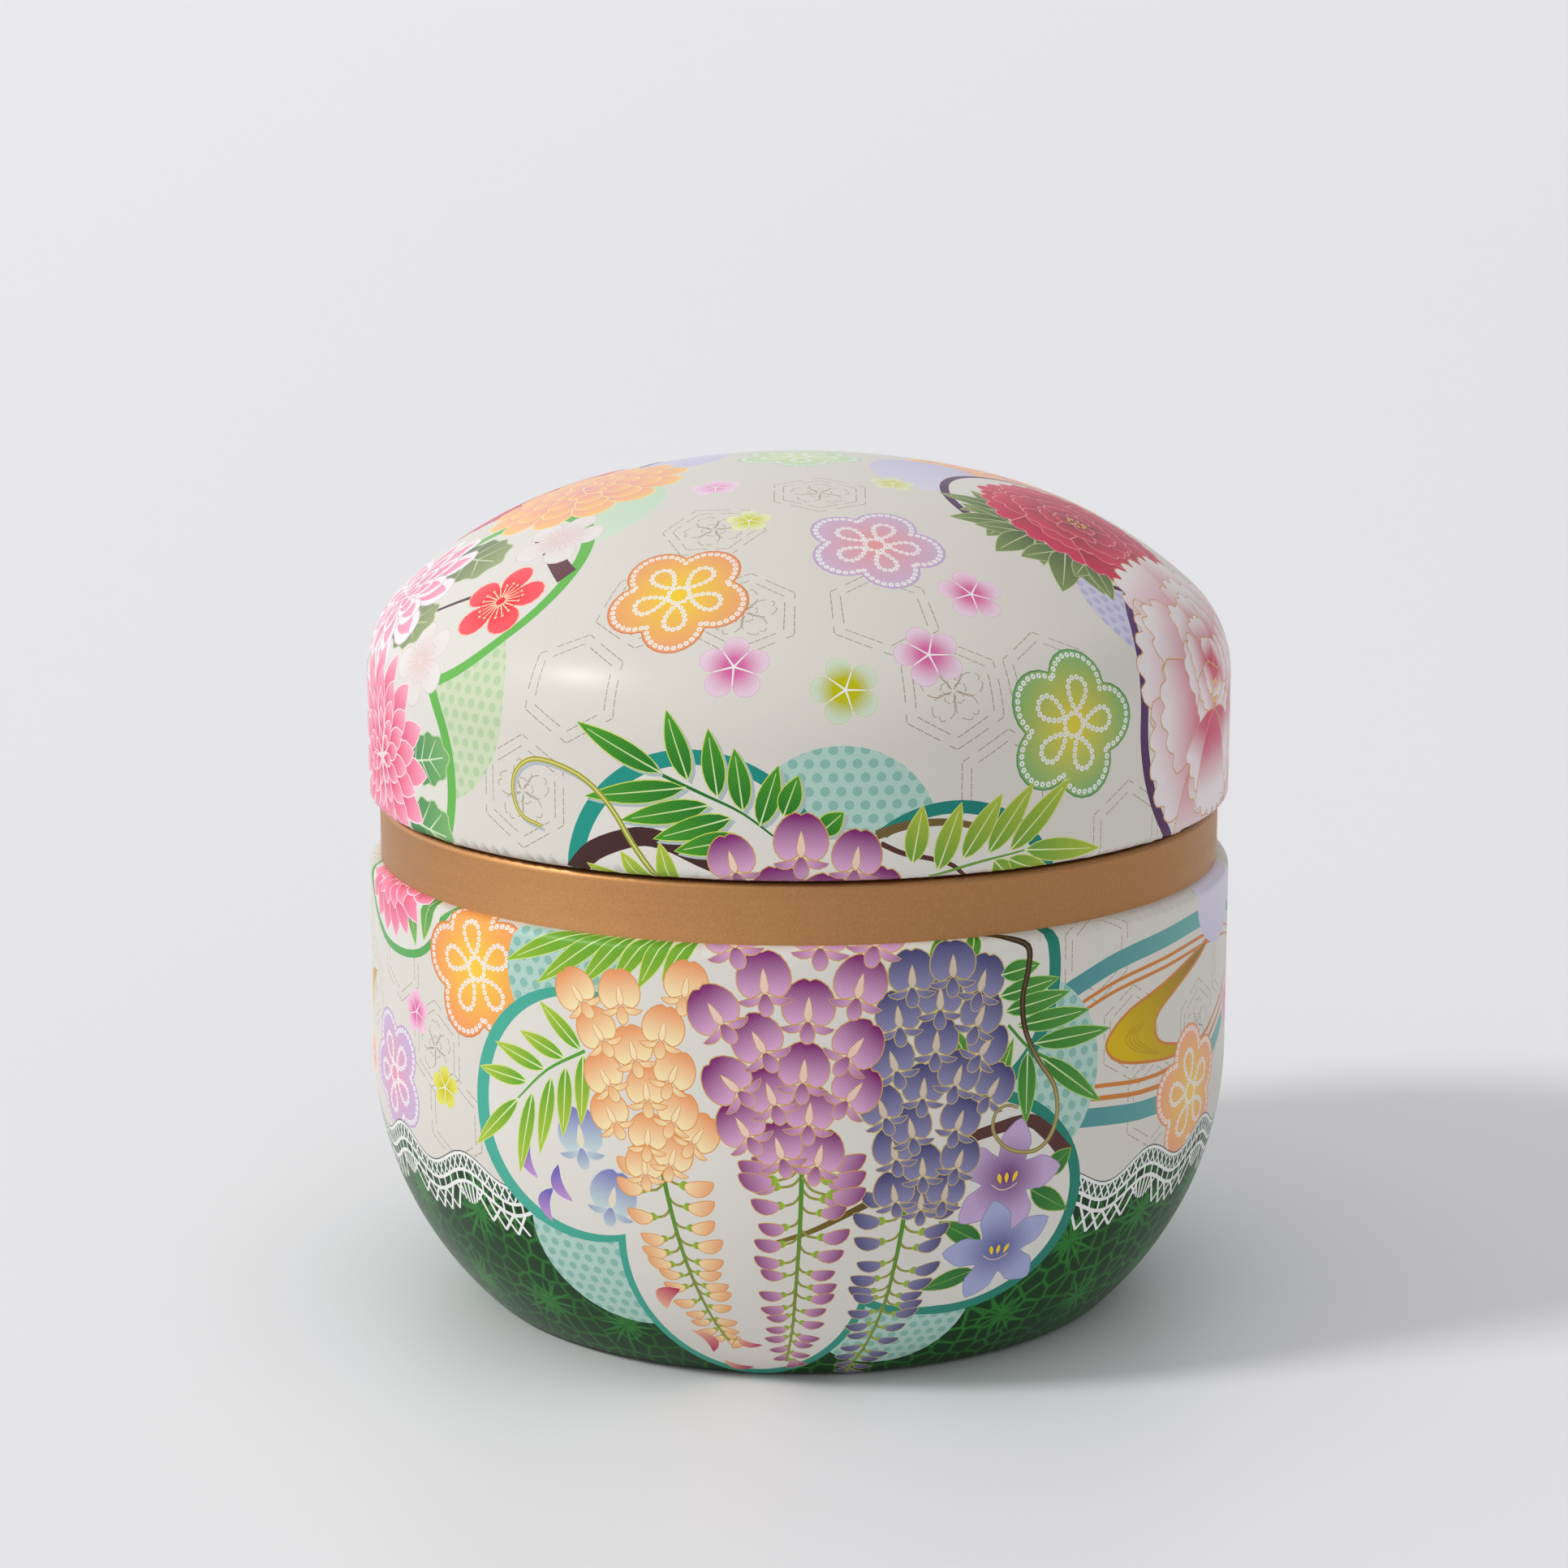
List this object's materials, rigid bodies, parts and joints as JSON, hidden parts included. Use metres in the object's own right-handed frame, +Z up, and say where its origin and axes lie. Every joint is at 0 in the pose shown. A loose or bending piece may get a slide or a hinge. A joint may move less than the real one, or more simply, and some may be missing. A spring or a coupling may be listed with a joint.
{
  "type": "tea caddy",
  "caption": "Round printed-tin tea caddy with a bowl-shaped body, a copper-lacquered neck ring, a domed lift-off lid and a plug-in inner lid.",
  "frame": {"origin": "centre of the base, on the surface that the caddy stands on", "axes": "+Z up along the caddy's axis; the side shown in the picture faces -Y, with +X to its right"},
  "size_m": [0.086, 0.086, 0.0836],
  "materials": {
    "body_print": "printed tinplate under a satin varnish",
    "lid_print": "printed tinplate under a satin varnish",
    "copper_lacquer": "satin copper-coloured lacquer on tinplate",
    "plain_tin": "plain tinplate, clear lacquered"
  },
  "bodies": {
    "caddy_body": {"body_shell": "body_print", "neck_ring": "copper_lacquer"},
    "inner_lid_body": {"inner_lid": "plain_tin", "inner_lid_knob": "plain_tin"},
    "lid_body": {"lid_shell": "lid_print"}
  },
  "joints": [
    {"name": "inner_lid_lift", "type": "slide", "parent": "caddy_body", "child": "inner_lid_body", "axis": [0, 0, 1], "range_m": [0, 0.03]},
    {"name": "lid_lift", "type": "slide", "parent": "inner_lid_body", "child": "lid_body", "axis": [0, 0, 1], "range_m": [0, 0.06]}
  ]
}
